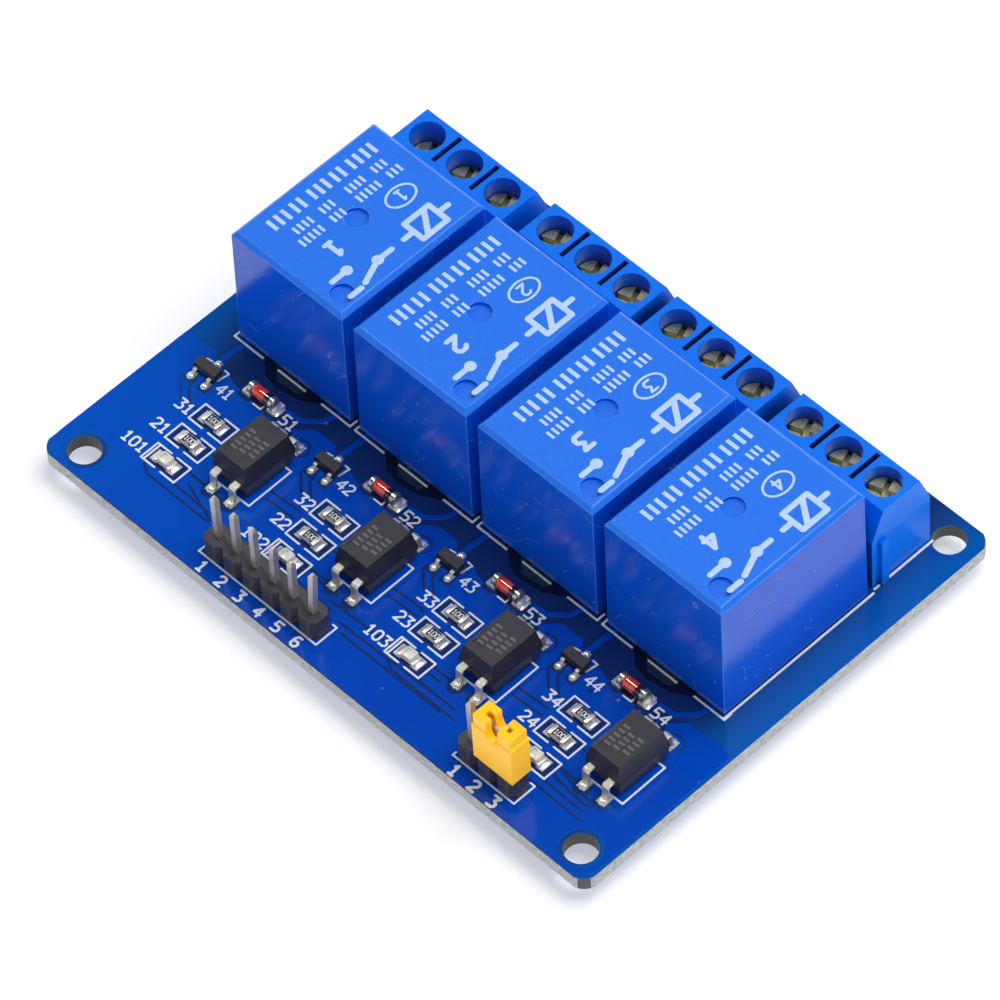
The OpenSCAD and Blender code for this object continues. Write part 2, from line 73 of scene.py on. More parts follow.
def add_node(tree, kind, inputs=None, **settings):
    """A node whose inputs are values or the sockets that feed them."""
    made = tree.nodes.new(kind)
    for name, value in settings.items():
        setattr(made, name, value)
    for name, value in (inputs or {}).items():
        if isinstance(value, bpy.types.NodeSocket):
            tree.links.new(value, made.inputs[name])
        else:
            made.inputs[name].default_value = value
    return made


def blend_colours(tree, mask, first, second):
    """The first colour where the mask is 0, the second where it is 1."""
    return add_node(tree, "ShaderNodeMix", {0: mask, 6: first, 7: second},
                    data_type="RGBA").outputs[2]


def rescale(tree, value, start, end, low=0.0, high=1.0):
    """The value's range from low to high, stretched to run from start to end."""
    return add_node(tree, "ShaderNodeMapRange", {
        "Value": value, "From Min": low, "From Max": high, "To Min": start, "To Max": end}
    ).outputs["Result"]


def add_finish(name, colour, roughness, metallic=0, **values):
    """A material with its tree and its shader, for detail to be wired in."""
    material = bpy.data.materials.new(name)
    material.use_nodes = True
    shader = material.node_tree.nodes["Principled BSDF"]
    values.update(Base_Color=colour, Roughness=roughness, Metallic=metallic)
    for key, value in values.items():
        shader.inputs[key.replace("_", " ")].default_value = value
    return material, material.node_tree, shader


def background_rays(tree):
    """1 on the rays that show the background: straight, in gloss and through glass."""
    ray = add_node(tree, "ShaderNodeLightPath").outputs
    shown = ray["Is Camera Ray"]
    for kind in ("Is Glossy Ray", "Is Transmission Ray"):
        shown = add_node(tree, "ShaderNodeMath", {0: shown, 1: ray[kind]},
                         operation="MAXIMUM").outputs[0]
    return shown


white_top = card(246, 246, 247)
table_finish, table_tree, table_shader = add_finish("White table", white_top, 0.7)
table_shader.inputs["Specular IOR Level"].default_value = 0
table_shader.inputs["Emission Color"].default_value = (1, 1, 1, 1)
seen = background_rays(table_tree)
cloudy = add_node(table_tree, "ShaderNodeTexNoise", {"Scale": 3, "Detail": 1}).outputs["Fac"]
shown_top = blend_colours(table_tree, cloudy, card(226, 226, 228), card(229, 229, 229))
table_tree.links.new(blend_colours(table_tree, seen, white_top, shown_top),
                     table_shader.inputs["Base Color"])
whitening = 0.42
table_tree.links.new(rescale(table_tree, seen, 0, whitening),
                     table_shader.inputs["Emission Strength"])
table_z = cad_low.z - 0.02 * mm
top = bmesh.new()
bmesh.ops.create_grid(top, x_segments=1, y_segments=1, size=2,
                      matrix=Matrix.Translation((0, 0, table_z)))
table_mesh = bpy.data.meshes.new("table")
top.to_mesh(table_mesh)
table_mesh.materials.append(table_finish)
table = bpy.data.objects.new("table", table_mesh)
bpy.context.scene.collection.objects.link(table)
table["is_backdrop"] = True

studio = bpy.data.worlds.new("Studio")
bpy.context.scene.world = studio
studio.use_nodes = True
room = studio.node_tree
height = add_node(room, "ShaderNodeSeparateXYZ", {
    "Vector": add_node(room, "ShaderNodeTexCoord").outputs["Generated"]}).outputs["Z"]
overhead = rescale(room, height, 0, 1, 0.45, 0.72)
dim_ceiling = (0.1, 0.11, 0.13, 1)
walls = room.nodes["Background"]
room.links.new(blend_colours(room, overhead, (0.84, 0.87, 0.92, 1), dim_ceiling),
               walls.inputs["Color"])
backdrop = add_node(room, "ShaderNodeBackground", {
    "Color": blend_colours(room, overhead, (1, 1, 1, 1), dim_ceiling)})
shown = add_node(room, "ShaderNodeMixShader", {
    "Fac": background_rays(room), 1: walls.outputs[0], 2: backdrop.outputs[0]})
room.links.new(shown.outputs[0], room.nodes["World Output"].inputs[0])


def add_lamp(name, place, size, power):
    """A soft square lamp that points at the board."""
    lamp = bpy.data.lights.new(name, "AREA")
    lamp.size, lamp.energy = size, power
    holder = bpy.data.objects.new(name, lamp)
    holder.location = place
    holder.rotation_euler = Vector(place).to_track_quat("Z", "Y").to_euler()
    bpy.context.scene.collection.objects.link(holder)
    return holder


add_lamp("overhead lamp", (0.12, 0.18, 0.62), 0.45, 2.7)
# a small lamp that only adds the streak along glass and metal
add_lamp("glint lamp", (-0.31, 0.03, 0.58), 0.13, 1.1).visible_diffuse = False

# the lens looks at a point near the middle of the board, from a distance in metres
aim, distance = Vector((-0.0005212, -0.0013575, 0.0016)), 0.79816
azimuth, elevation, roll = (math.radians(a) for a in (48.5433, 52.6123, -3.9706))
outward = Vector((math.cos(elevation) * math.sin(azimuth),
                  -math.cos(elevation) * math.cos(azimuth), math.sin(elevation)))
right = Vector((math.cos(azimuth), math.sin(azimuth), 0))
up = outward.cross(right)
across = right * math.cos(roll) + up * math.sin(roll)
upward = up * math.cos(roll) - right * math.sin(roll)
lens = bpy.data.cameras.new("long lens")
lens.lens, lens.sensor_width = 8.51105 * 36, 36
lens.clip_start, lens.clip_end = 0.05, 20
camera = bpy.data.objects.new("camera", lens)
camera.matrix_world = (Matrix.Translation(aim + distance * outward)
                       @ Matrix((across, upward, outward)).transposed().to_4x4())
bpy.context.scene.collection.objects.link(camera)
bpy.context.scene.camera = camera
bpy.context.scene.view_settings.view_transform = "Standard"

# ---- Circuit board
# Glass-fibre laminate under glossy blue solder mask. The holes and corners are cut smooth by
# the router, and the four sides are snapped along scored grooves, which leaves them pale and
# rough. The walls of the holes and corners are painted dark grey, as painted shade.
board_low, board_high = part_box("circuit_board")
# from the middle of the board to its holes in mm, and how deep a snapped side goes
hole_reach = Vector((33.2, 24.25))
snap_depth = 0.3 * mm
sharp_edge = math.radians(32)


def place_on_piece(tree):
    return add_node(tree, "ShaderNodeTexCoord").outputs["Object"]


def place_along_board(tree):
    place = {"Vector": place_on_piece(tree)}
    return add_node(tree, "ShaderNodeSeparateXYZ", place).outputs["X"]


def worked_surface():
    """Node group: grain, clouding, dust and scratches of a made surface."""
    group = bpy.data.node_groups.new("Worked surface", "ShaderNodeTree")
    for name, value in (("Grain Scale", 9000), ("Cloud Scale", 150), ("Dust Scale", 700),
                        ("Dust Amount", 0.2), ("Scratch Scale", 200), ("Scratch Amount", 0.3)):
        group.interface.new_socket(
            name, in_out="INPUT", socket_type="NodeSocketFloat").default_value = value
    for name in ("Grain", "Cloud", "Dust", "Scratches"):
        group.interface.new_socket(name, in_out="OUTPUT", socket_type="NodeSocketFloat")
    given = add_node(group, "NodeGroupInput").outputs
    given_to = add_node(group, "NodeGroupOutput").inputs
    place = place_on_piece(group)

    def noise(scale, detail, **more):
        return add_node(group, "ShaderNodeTexNoise", {
            "Vector": place, "Scale": scale, "Detail": detail, **more}).outputs["Fac"]

    def sum_of(operation, first, second=0.0):
        return add_node(
            group, "ShaderNodeMath", {0: first, 1: second}, operation=operation).outputs[0]

    group.links.new(noise(given["Grain Scale"], 2), given_to["Grain"])
    group.links.new(noise(given["Cloud Scale"], 3), given_to["Cloud"])
    cells = add_node(group, "ShaderNodeTexVoronoi", {
        "Vector": place, "Scale": given["Dust Scale"]})
    chance = add_node(group, "ShaderNodeSeparateColor", {"Color": cells.outputs["Color"]})
    grit = rescale(group, cells.outputs["Distance"], 1.0, 0.0, 0.03, 0.12)
    chosen = sum_of("LESS_THAN", chance.outputs[0], given["Dust Amount"])
    group.links.new(sum_of("MULTIPLY", grit, chosen), given_to["Dust"])
    lines = noise(given["Scratch Scale"], 0, Distortion=1.5)
    off_line = sum_of("ABSOLUTE", sum_of("SUBTRACT", lines, 0.5))
    line = rescale(group, off_line, 1.0, 0.0, 0.0, 0.006)
    spread = noise(sum_of("MULTIPLY", given["Scratch Scale"], 1.7), 1)
    limit = sum_of("SUBTRACT", 0.8, sum_of("MULTIPLY", given["Scratch Amount"], 0.4))
    group.links.new(sum_of("MULTIPLY", line, sum_of("GREATER_THAN", spread, limit)),
                    given_to["Scratches"])
    return group


surface_group = worked_surface()


def wear(tree, **values):
    """The group's outputs in this tree, with its own values."""
    placed = add_node(tree, "ShaderNodeGroup", node_tree=surface_group)
    for name, value in values.items():
        placed.inputs[name.replace("_", " ")].default_value = value
    return placed.outputs


def add_bump(tree, shader, height, distance):
    """Relief from a mask, as deep in mm as the distance where the mask is 1."""
    made = add_node(tree, "ShaderNodeBump", {"Height": height, "Distance": distance * mm})
    tree.links.new(made.outputs["Normal"], shader.inputs["Normal"])


def mask_lacquer(tree, shader, colour):
    """A glossy lacquer with a little dust and orange peel over a colour."""
    marks = wear(tree, Cloud_Scale=90, Dust_Scale=420, Dust_Amount=0.1, Grain_Scale=900)
    tree.links.new(blend_colours(tree, rescale(tree, marks["Dust"], 0, 0.5), colour,
                                 card(150, 180, 225)), shader.inputs["Base Color"])
    tree.links.new(rescale(tree, marks["Cloud"], 0.08, 0.18), shader.inputs["Roughness"])
    shader.inputs["Specular IOR Level"].default_value = 0.25
    add_bump(tree, shader, marks["Grain"], 0.002)


def clouded_finish(name, first, second, roughness, cloud, grain=0, bump=0, **values):
    """A material whose colour drifts between two, with a fine grain if asked."""
    material, tree, shader = add_finish(name, first, roughness, **values)
    marks = wear(tree, Cloud_Scale=cloud)
    tree.links.new(blend_colours(tree, marks["Cloud"], first, second),
                   shader.inputs["Base Color"])
    if grain:
        marks["Grain"].node.inputs["Grain Scale"].default_value = grain
        add_bump(tree, shader, marks["Grain"], bump)
    return material


bare_blue = card(24, 54, 116)
bare_mask, bare_tree, bare_shader = add_finish("Mask over bare laminate", bare_blue, 0.1)
far_out = add_node(bare_tree, "ShaderNodeMath", {0: place_along_board(bare_tree)},
                   operation="ABSOLUTE").outputs[0]
# painted light: the mask is painted paler and more teal over the last 6 mm towards each end of
# the board, where more light reaches it
painted_end_light = rescale(bare_tree, far_out, 0, 1, 29.5 * mm, 35.5 * mm)
mask_lacquer(bare_tree, bare_shader,
             blend_colours(bare_tree, painted_end_light, bare_blue, card(0, 92, 178)))

snapped, snapped_tree, snapped_shader = add_finish(
    "Snapped laminate", card(170, 174, 172), 0.8)
fibres = add_node(snapped_tree, "ShaderNodeMapping", {
    "Vector": place_on_piece(snapped_tree), "Scale": (1, 1, 4)})
strands = add_node(snapped_tree, "ShaderNodeTexNoise", {
    "Vector": fibres.outputs[0], "Scale": 1400, "Detail": 5, "Roughness": 0.7}).outputs["Fac"]
strand_mask = rescale(snapped_tree, strands, 0, 1, 0.35, 0.65)
snapped_tree.links.new(
    blend_colours(snapped_tree, strand_mask, card(160, 168, 172), card(228, 229, 224)),
    snapped_shader.inputs["Base Color"])
add_bump(snapped_tree, snapped_shader, strands, 0.05)

# painted shade: the walls of the holes and the rounded corners take a dark grey for the shade
# in them
routed_painted_shade = clouded_finish("Routed laminate", card(58, 64, 62), card(98, 98, 86), 0.45, 700,
                        5000, 0.02)


def merged_copy(node):
    """A node's mesh with its doubles merged and its flat faces whole again."""
    form = bmesh.new()
    form.from_mesh(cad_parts[node].data)
    bmesh.ops.remove_doubles(form, verts=form.verts, dist=0.002 * mm)
    bmesh.ops.dissolve_limit(form, angle_limit=math.radians(0.5), verts=form.verts,
                             edges=form.edges)
    return form


def add_piece(name, form, finishes, nodes=(), rounding=0, segments=2, lift=0):
    """A finished piece of the board from a form, with its edges rounded if asked."""
    if lift:
        bmesh.ops.translate(form, vec=(0, 0, lift), verts=form.verts)
    mesh = bpy.data.meshes.new(name)
    form.to_mesh(mesh)
    form.free()
    for material in finishes:
        mesh.materials.append(material)
    mesh.shade_smooth()
    mesh.set_sharp_from_angle(angle=sharp_edge)
    piece = bpy.data.objects.new(name, mesh)
    bpy.context.scene.collection.objects.link(piece)
    if rounding:
        edge = piece.modifiers.new("rounded edges", "BEVEL")
        edge.width, edge.segments, edge.limit_method = rounding * mm, segments, "ANGLE"
        edge.angle_limit = sharp_edge
        piece.modifiers.new("flat sides", "WEIGHTED_NORMAL").keep_sharp = True
    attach(piece, "board")
    if nodes:
        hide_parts(*nodes)
    return piece


panel = merged_copy("circuit_board")
middle_x = (board_low.x + board_high.x) / 2
half_size = Vector(((board_high.x - board_low.x) / 2, board_high.y))
for face in panel.faces:
    spot = face.calc_center_median()
    from_side = half_size - Vector((abs(spot.x - middle_x), abs(spot.y)))
    if abs(face.normal.z) > 0.9:
        face.material_index = 0
    else:
        face.material_index = 1 if min(from_side) < snap_depth else 2
add_piece("board", panel, [bare_mask, snapped, routed_painted_shade], ["circuit_board"])

# ---- Copper under the mask
# A sheet of copper fills the driver side. It stands a little proud under the mask, and etched
# gaps free the pads and tracks in it. Two tracks run from each driver to its relay.
copper_mask, copper_tree, copper_shader = add_finish(
    "Mask over copper", card(0, 76, 202), 0.1)
# painted light: the mask over copper is painted paler towards the left end of the board, fading
# to its plain blues at x = -6 mm
painted_left_end_light_fade = rescale(copper_tree, place_along_board(copper_tree), 0, 1, -36 * mm, -6 * mm)
copper_cloud = wear(copper_tree, Cloud_Scale=70)["Cloud"]
mask_lacquer(copper_tree, copper_shader, blend_colours(
    copper_tree, painted_left_end_light_fade,
    blend_colours(copper_tree, copper_cloud, card(0, 80, 194), card(0, 94, 212)),
    blend_colours(copper_tree, copper_cloud, card(0, 68, 184), card(0, 80, 202))))
# in mm: how proud the copper stands, how far its sides slope, and an etched gap
copper_rise, copper_slope, gap = 0.04, 0.04, 0.3


def strip(start, end, width):
    """Outline of a straight stroke from start to end."""
    start, end = Vector(start), Vector(end)
    side = (end - start).orthogonal().normalized() * (width / 2)
    return [start - side, end - side, end + side, start + side]


def disc(at, radius, sides=12):
    return [Vector((at[0] + radius * math.cos(math.tau * i / sides),
                    at[1] + radius * math.sin(math.tau * i / sides))) for i in range(sides)]


def rectangle(at, length, width):
    return strip((at[0] - length / 2, at[1]), (at[0] + length / 2, at[1]), width)


def line(width, *path):
    """Outlines of a plotted line: strips that meet in discs."""
    return ([strip(start, end, width) for start, end in zip(path, path[1:])]
            + [disc(at, width / 2) for at in path])


def thin_plate(shapes, height, spread=0.0, cuts=(), islands=()):
    """The outlines in mm as one thin plate, less the cuts, with the islands put back.

    Its sides slope out by the spread down to its foot.
    """
    points, faces = [], []
    for outline in [*shapes, *cuts, *islands]:
        if sum(a.x * b.y - a.y * b.x for a, b in zip(outline, outline[1:] + outline[:1])) < 0:
            outline = outline[::-1]
        faces.append(list(range(len(points), len(points) + len(outline))))
        points += outline
    spots, _, found, _, _, sources = delaunay_2d_cdt(points, [], faces, 1, 1e-5)
    form = bmesh.new()
    corners = [form.verts.new((p.x * mm, p.y * mm, 0)) for p in spots]
    for face, source in zip(found, sources):
        in_cut = any(i >= len(shapes) for i in source)
        in_island = any(i >= len(shapes) + len(cuts) for i in source)
        if in_island or (source and not in_cut):
            form.faces.new([corners[i] for i in face])
    bmesh.ops.delete(form, geom=[v for v in form.verts if not v.link_faces], context="VERTS")
    foot = {vert for edge in form.edges if edge.is_boundary for vert in edge.verts}
    raised = bmesh.ops.extrude_face_region(form, geom=form.faces[:])["geom"]
    bmesh.ops.translate(form, vec=(0, 0, height * mm),
                        verts=[item for item in raised if isinstance(item, bmesh.types.BMVert)])
    bmesh.ops.recalc_face_normals(form, faces=form.faces)
    form.normal_update()
    for vert in foot:
        away = sum((f.normal for f in vert.link_faces if abs(f.normal.z) < 0.5), Vector())
        vert.co += away.normalized() * spread * mm
    return form


# in mm: each channel's middle line, a little to the right of its relay's, and the places of
# its parts from there
case_shift = 0.1
channels = []
for k in range(4):
    low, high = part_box(f"relay_case_{k + 1}")
    channels.append(((low.x + high.x) / 2 + case_shift * mm) / mm)
chip_spots = ((-1.75, -20), (-1.8, -16.85), (-1.85, -13.7))
coupler_x, coupler_y, coupler_lead = 4.9, -14.65, 1.27
transistor_x, transistor_lead = -6.65, 0.95
diode_x = -0.45
edge_x = board_high.x / mm - 0.5

sheet = [(-34.2, -26.8), (-35.6, -26.2), (-36.4, -25.3), (-36.65, -24.3), (-36.65, -7.7),
         (-35.4, -7.55), (-32.6, -7.6), (-31.5, -8.6)]
for x in channels:
    sheet += [(x - 5.2, -8.6), (x - 3.6, -9.1), (x + 2.6, -9.8), (x + 3.8, -9.3),
              (x + 5.7, -7.5)]
    sheet += [(x + 8.5, -7.5), (x + 8.9, -8.2)] if x < channels[3] else []
sheet += [(edge_x - 1.1, -7.4), (edge_x, -7.5), (edge_x, -24.9), (edge_x - 0.5, -26.1),
          (edge_x - 1.7, -26.8)]
cuts, islands = [], []
for side in (-1, 1):
    cuts.append(disc((side * hole_reach.x, -hole_reach.y), 2.2, 40))
for x in channels:
    for dx, dy in chip_spots:
        cuts.append(rectangle((x + dx, dy), 4.25, 1.95))
    for side in (-1, 1):
        cuts.append(disc((x + coupler_x + side * coupler_lead, -19.35), 0.95, 20))
        cuts.append(disc((x + coupler_x + side * coupler_lead, -10.1), 1.15, 20))
        cuts.append(rectangle((x + diode_x + side * 1.7, -8.6), 1.6, 2.2))
        cuts.append(rectangle((x + transistor_x + side * transistor_lead, -11.2), 1.25, 1.4))
    islands.append(disc((x + 6.17, -10.1), 0.85, 20))
    # from the transistor to the high resistor
    cuts += line(gap, (x - 8.1, -10.9), (x - 8.3, -11.9), (x - 6.5, -13.6), (x - 3.8, -13.7))
    cuts += line(gap, (x - 7.0, -11.1), (x - 6.8, -12.2), (x - 5.4, -13.4))
    # from the lamp and the resistors to the coupler and the headers
    cuts += line(gap, (x - 3.2, -19.3), (x - 3.2, -21.5), (x - 2.1, -22.1), (x + 6.3, -22.1))
    cuts += line(gap, (x + 0.6, -21.2), (x + 5.5, -21.3))
    cuts += line(gap, (x + 0.4, -19.2), (x + 3.1, -19.2))
    cuts += line(0.28, (x + 0.3, -16.3), (x + 2.6, -16.3))
    if x > channels[0]:
        cuts += line(gap, (x - 4.9, -15.25), (x - 8.9, -15.5))
        cuts += line(gap, (x - 4.7, -16.2), (x - 8.4, -16.4))
for start, end in (((-3.7, -20.5), (10.5, -20.0)), ((-1.3, -21.7), (11.8, -21.3)),
                   ((-0.2, -22.5), (12.9, -22.4)), ((-23.6, -19.3), (-19.5, -19.4)),
                   ((-23.2, -20.2), (-18.6, -21.8)), ((-6.4, -19.7), (-3.6, -19.7))):
    cuts += line(0.32, start, end)
last = channels[3]
cuts += line(0.34, (last - 0.2, -19.6), (last + 1.2, -20.3), (last + 5.2, -20.6),
             (last + 7.1, -19.6), (last + 7.6, -18.4))
cuts += line(gap, (last + 1.1, -19.4), (last + 5.1, -20.0), (last + 6.6, -19.6))
for at in ((channels[2] - 3.4, -11.1), (channels[3] - 3.5, -11.1), (channels[2] - 4.9, -15.4)):
    cuts.append(disc(at, 0.28))
tracks = []
for x in channels:
    tracks += line(0.6, (x - 6.9, -8.1), (x - 6.8, -5.6), (x - 6.7, -4))
    tracks += line(0.5, (x + 2.3, -7.9), (x + 4.0, -7.7), (x + 5.5, -6.3), (x + 6.1, -4))
copper = thin_plate([[Vector(p) for p in sheet], *tracks], copper_rise, copper_slope, cuts,
                    islands)
add_piece("copper_under_mask", copper, [copper_mask], lift=board_high.z)

# the underside has a sheet of its own, and broad tracks from the contacts to the terminals
below = [(-34.2, -26.7), (-36.4, -24.6), (-36.4, -9.4), (36.0, -9.4), (36.0, -24.6),
         (33.8, -26.7)]
below_cuts = [disc((side * hole_reach.x, -hole_reach.y), 2.4, 40) for side in (-1, 1)]
pin_half = 0.32
for node, count in (("input_header_pins", 6), ("supply_header_pins", 3)):
    low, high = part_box(node)
    first = low.x / mm + pin_half
    step = ((high.x - low.x) / mm - 2 * pin_half) / (count - 1)
    for pin in range(count):
        spot = (first + pin * step, (low.y + high.y) / 2 / mm)
        below_cuts.append(disc(spot, 1.3, 20))
        below_cuts += line(gap, spot, (spot[0], -19.5 + 0.6 * pin),
                           (spot[0] + 9, -17 + 0.6 * pin))
broad = []
for k, x in enumerate(channels):
    case = x - case_shift
    ends_at = []
    for pole in range(3):
        low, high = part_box(f"terminal_screw_{3 * k + pole + 1}")
        ends_at.append(((low.x + high.x) / 2 / mm, (low.y + high.y) / 2 / mm))
    broad += line(3.0, (case - 6, 11.4), ends_at[0]) + line(3.0, (case + 6, 11.4), ends_at[2])
    broad += line(3.0, (case, -2.8), (case, 15), ends_at[1])
    for side in (-1, 1):
        broad += line(0.8, (case + side * 6, -0.8), (case + side * 6, -7),
                      (case + side * 5, -8))
        broad.append(disc((case + side * 6, -0.8), 1.6, 20))
underside = thin_plate([[Vector(p) for p in below], *broad], copper_rise, copper_slope,
                       below_cuts)
bmesh.ops.scale(underside, vec=(1, 1, -1), verts=underside.verts)
bmesh.ops.reverse_faces(underside, faces=underside.faces)
add_piece("underside_copper", underside, [copper_mask], lift=board_low.z)

# windows where neither side has copper; their dark colours are painted shade, the shade under
# the board seen through the laminate
for name, colour, rise, corners in (
        ("window_dark", card(20, 28, 58), 0.003,
         ((-4.3, -3.8), (-4.1, -4.9), (-2.5, -6.3), (-0.8, -6.6), (1.9, -6.2), (3.9, -5.0),
          (3.9, -3.8))),
        ("window_pale", card(44, 62, 82), 0.006,
         ((-2.6, -3.8), (-2.7, -4.6), (-1.2, -6.0), (1.3, -5.8), (1.7, -5.1), (1.7, -3.8)))):
    window, window_tree, window_shader = add_finish(name.replace("_", " "), colour, 0.12)
    depth = wear(window_tree, Cloud_Scale=500)["Cloud"]
    darker, paler = ([c * share for c in colour[:3]] + [1] for share in (0.8, 1.2))
    mask_lacquer(window_tree, window_shader,
                 blend_colours(window_tree, depth, darker, paler))
    region = thin_plate([[Vector((x + a, b)) for a, b in corners] for x in channels], rise)
    add_piece(name, region, [window], lift=board_high.z)

# ---- Silk print on the board
# White epoxy ink screened over the mask and baked, before the parts go on. It outlines the
# parts and gives each a plain number.
ink = clouded_finish("White print", card(228, 236, 246), card(253, 254, 255), 0.55, 1500,
                     6000, 0.008)
# widths of the printed lines in mm
outline, fine, bold = 0.2, 0.18, 0.22
# each digit's strokes in a cell 0.6 wide and 1 high
DIGITS = {
    "0": [[(0.15, 0), (0.45, 0), (0.6, 0.2), (0.6, 0.8), (0.45, 1), (0.15, 1), (0, 0.8),
           (0, 0.2), (0.15, 0)]],
    "1": [[(0.1, 0.8), (0.3, 1), (0.3, 0)], [(0.1, 0), (0.5, 0)]],
    "2": [[(0, 0.85), (0.15, 1), (0.45, 1), (0.6, 0.85), (0.6, 0.6), (0, 0), (0.6, 0)]],
    "3": [[(0, 1), (0.6, 1), (0.3, 0.6), (0.6, 0.4), (0.6, 0.15), (0.45, 0), (0, 0)]],
    "4": [[(0.5, 0), (0.5, 1), (0, 0.3), (0.65, 0.3)]],
    "5": [[(0.6, 1), (0.05, 1), (0, 0.55), (0.45, 0.55), (0.6, 0.4), (0.6, 0.15), (0.45, 0),
           (0, 0)]],
    "6": [[(0.5, 1), (0.2, 1), (0, 0.7), (0, 0.15), (0.15, 0), (0.45, 0), (0.6, 0.15),
           (0.6, 0.4), (0.45, 0.55), (0, 0.5)]],
}


def number(digits, at, height, width, pitch=0.88):
    """Outlines of a plain number that reads along X from a point in mm."""
    made = []
    for place, digit in enumerate(str(digits)):
        for stroke in DIGITS[digit]:
            made += line(width, *[(at[0] + (u + place * pitch) * height, at[1] + v * height)
                                  for u, v in stroke])
    return made


silk = []
for k, x in enumerate(channels):
    case = x - case_shift
    silk += line(outline, (case - 8.0, -4.1), (case - 8.0, -5.0), (case - 4.1, -5.0))
    silk += line(outline, (case - 1.95, -5.0), (case + 1.7, -5.0))
    silk += line(outline, (case + 4.0, -5.0), (case + 7.85, -5.0), (case + 7.85, -4.1))
    for dx, dy in chip_spots:
        for side in (-1, 1):
            for end in (-1, 1):
                silk += line(outline, (x + dx + end * 0.4, dy + side * 1.13),
                             (x + dx + end * 2.25, dy + side * 1.13),
                             (x + dx + end * 2.25, dy))
    silk += line(outline, (x - 3.65, -21.1), (x - 3.65, -18.9))
    silk += line(outline, (x + 3.0, -17.9), (x + 3.0, -18.2), (x + 7.67, -18.15),
                 (x + 7.62, -12.6), (x + 6.6, -12.6))
    silk += line(outline, (x + 2.75, -10.7), (x + 2.7, -9.85), (x + 3.6, -9.8))
    silk += line(fine, (x - 5.3, -9.9), (x - 5.1, -8.6), (x - 5.7, -8.55))
    silk += line(fine, (x - 8.0, -8.7), (x - 7.4, -8.6))
    silk += line(fine, (x - 0.9, -9.45), (x + 0.1, -9.45), (x + 0.1, -9.0))
    for first, dx, y, width in ((100, -7.1, -20.85, bold), (20, -6.2, -17.85, bold),
                                (30, -6.2, -14.7, bold), (40, -4.7, -10.9, outline),
                                (50, 2.4, -9.3, outline)):
        silk += number(first + k + 1, (x + dx, y), 1.15, width)
silk += line(bold, (32.4, -5.0), (32.4, 14.9)) + line(bold, (32.13, 15.3), (32.13, 15.9))
silk += line(bold, (32.13, 17.3), (32.13, 23.1))
silk += line(outline, (-16.68, -22.7), (-16.68, -25.0), (-0.87, -25.0), (-0.87, -22.3),
             (-1.39, -22.3))
silk += line(outline, (17.28, -24.6), (17.28, -25.0), (25.25, -25.0), (25.25, -22.3),
             (24.7, -22.3))
pin_pitch = 2.54
for pin in range(6):
    silk += number(pin + 1, (-15.5 + pin * pin_pitch, -26.6), 1.15, 0.26)
for pin in range(3):
    silk += number(pin + 1, (18.3 + pin * pin_pitch, -26.7), 1.2, 0.3)
ink_rise, ink_slope = 0.02, 0.01
add_piece("silk_print", thin_plate(silk, copper_rise + ink_rise, ink_slope), [ink],
          lift=board_high.z)

# ---- Relays
# A blue cover moulded in one piece, dull on top and glossy on its sides, is sealed on a base;
# its sides are painted a darker blue than its top, as painted shade.
# Its top is pad printed with a plain wiring diagram and the number of the channel.
cover_gloss = 0.35
cover, cover_tree, cover_shader = add_finish("Relay cover", card(8, 112, 246), 0.3,
                                              Specular_IOR_Level=cover_gloss)
cover_marks = wear(cover_tree, Cloud_Scale=60, Grain_Scale=5200, Dust_Scale=620,
                   Dust_Amount=0.4, Scratch_Scale=140, Scratch_Amount=0.6)
facing = add_node(cover_tree, "ShaderNodeSeparateXYZ", {
    "Vector": add_node(cover_tree, "ShaderNodeNewGeometry").outputs["Normal"]})
top_finish_and_painted_light = rescale(cover_tree, facing.outputs["Z"], 0, 1, 0.3, 0.8)
# painted shade: the sides take darker blues than the top; the same mask makes the top dull and
# keeps dust and scratches mostly off it
cover_blue_painted_side_shade = blend_colours(
    cover_tree, top_finish_and_painted_light,
    blend_colours(cover_tree, cover_marks["Cloud"], card(4, 84, 214), card(8, 94, 228)),
    blend_colours(cover_tree, cover_marks["Grain"], card(0, 108, 238), card(10, 126, 250)))
# dust and scratches show on the glossy sides more than on the dull top
marked = add_node(cover_tree, "ShaderNodeMath", {
    0: cover_marks["Dust"], 1: cover_marks["Scratches"]}, operation="MAXIMUM").outputs[0]
marked = add_node(cover_tree, "ShaderNodeMath", {
    0: marked, 1: rescale(cover_tree, top_finish_and_painted_light, 0.36, 0.05)}, operation="MULTIPLY").outputs[0]
cover_tree.links.new(blend_colours(cover_tree, marked, cover_blue_painted_side_shade, card(180, 205, 245)),
                     cover_shader.inputs["Base Color"])
cover_tree.links.new(rescale(cover_tree, top_finish_and_painted_light, 0.17, 0.42),
                     cover_shader.inputs["Roughness"])
add_bump(cover_tree, cover_shader, cover_marks["Grain"], 0.006)

# painted highlight: the rounded edges of the covers take a paler blue, the highlight of their
# rounding
painted_edge_highlight = clouded_finish("Painted highlight on cover edge", card(0, 96, 232), card(70, 164, 255), 0.3, 900,
                        Specular_IOR_Level=cover_gloss)
for k in range(4):
    piece = add_piece(f"relay_cover_{k + 1}", merged_copy(f"relay_case_{k + 1}"),
                      [cover, painted_edge_highlight], [f"relay_case_{k + 1}"], rounding=0.11)
    # the faces of the rounded edges take the painted highlight
    piece.modifiers["rounded edges"].material = 1

pad_ink = clouded_finish("Pale pad print", card(166, 204, 255), card(214, 234, 255), 0.5,
                         1300, 5200, 0.006)
print_rise = 0.006


def ticks(at, count, height, width, pitch):
    """A row of plain bars along X."""
    return [rectangle((at[0] + pitch * i, at[1]), width, height) for i in range(count)]


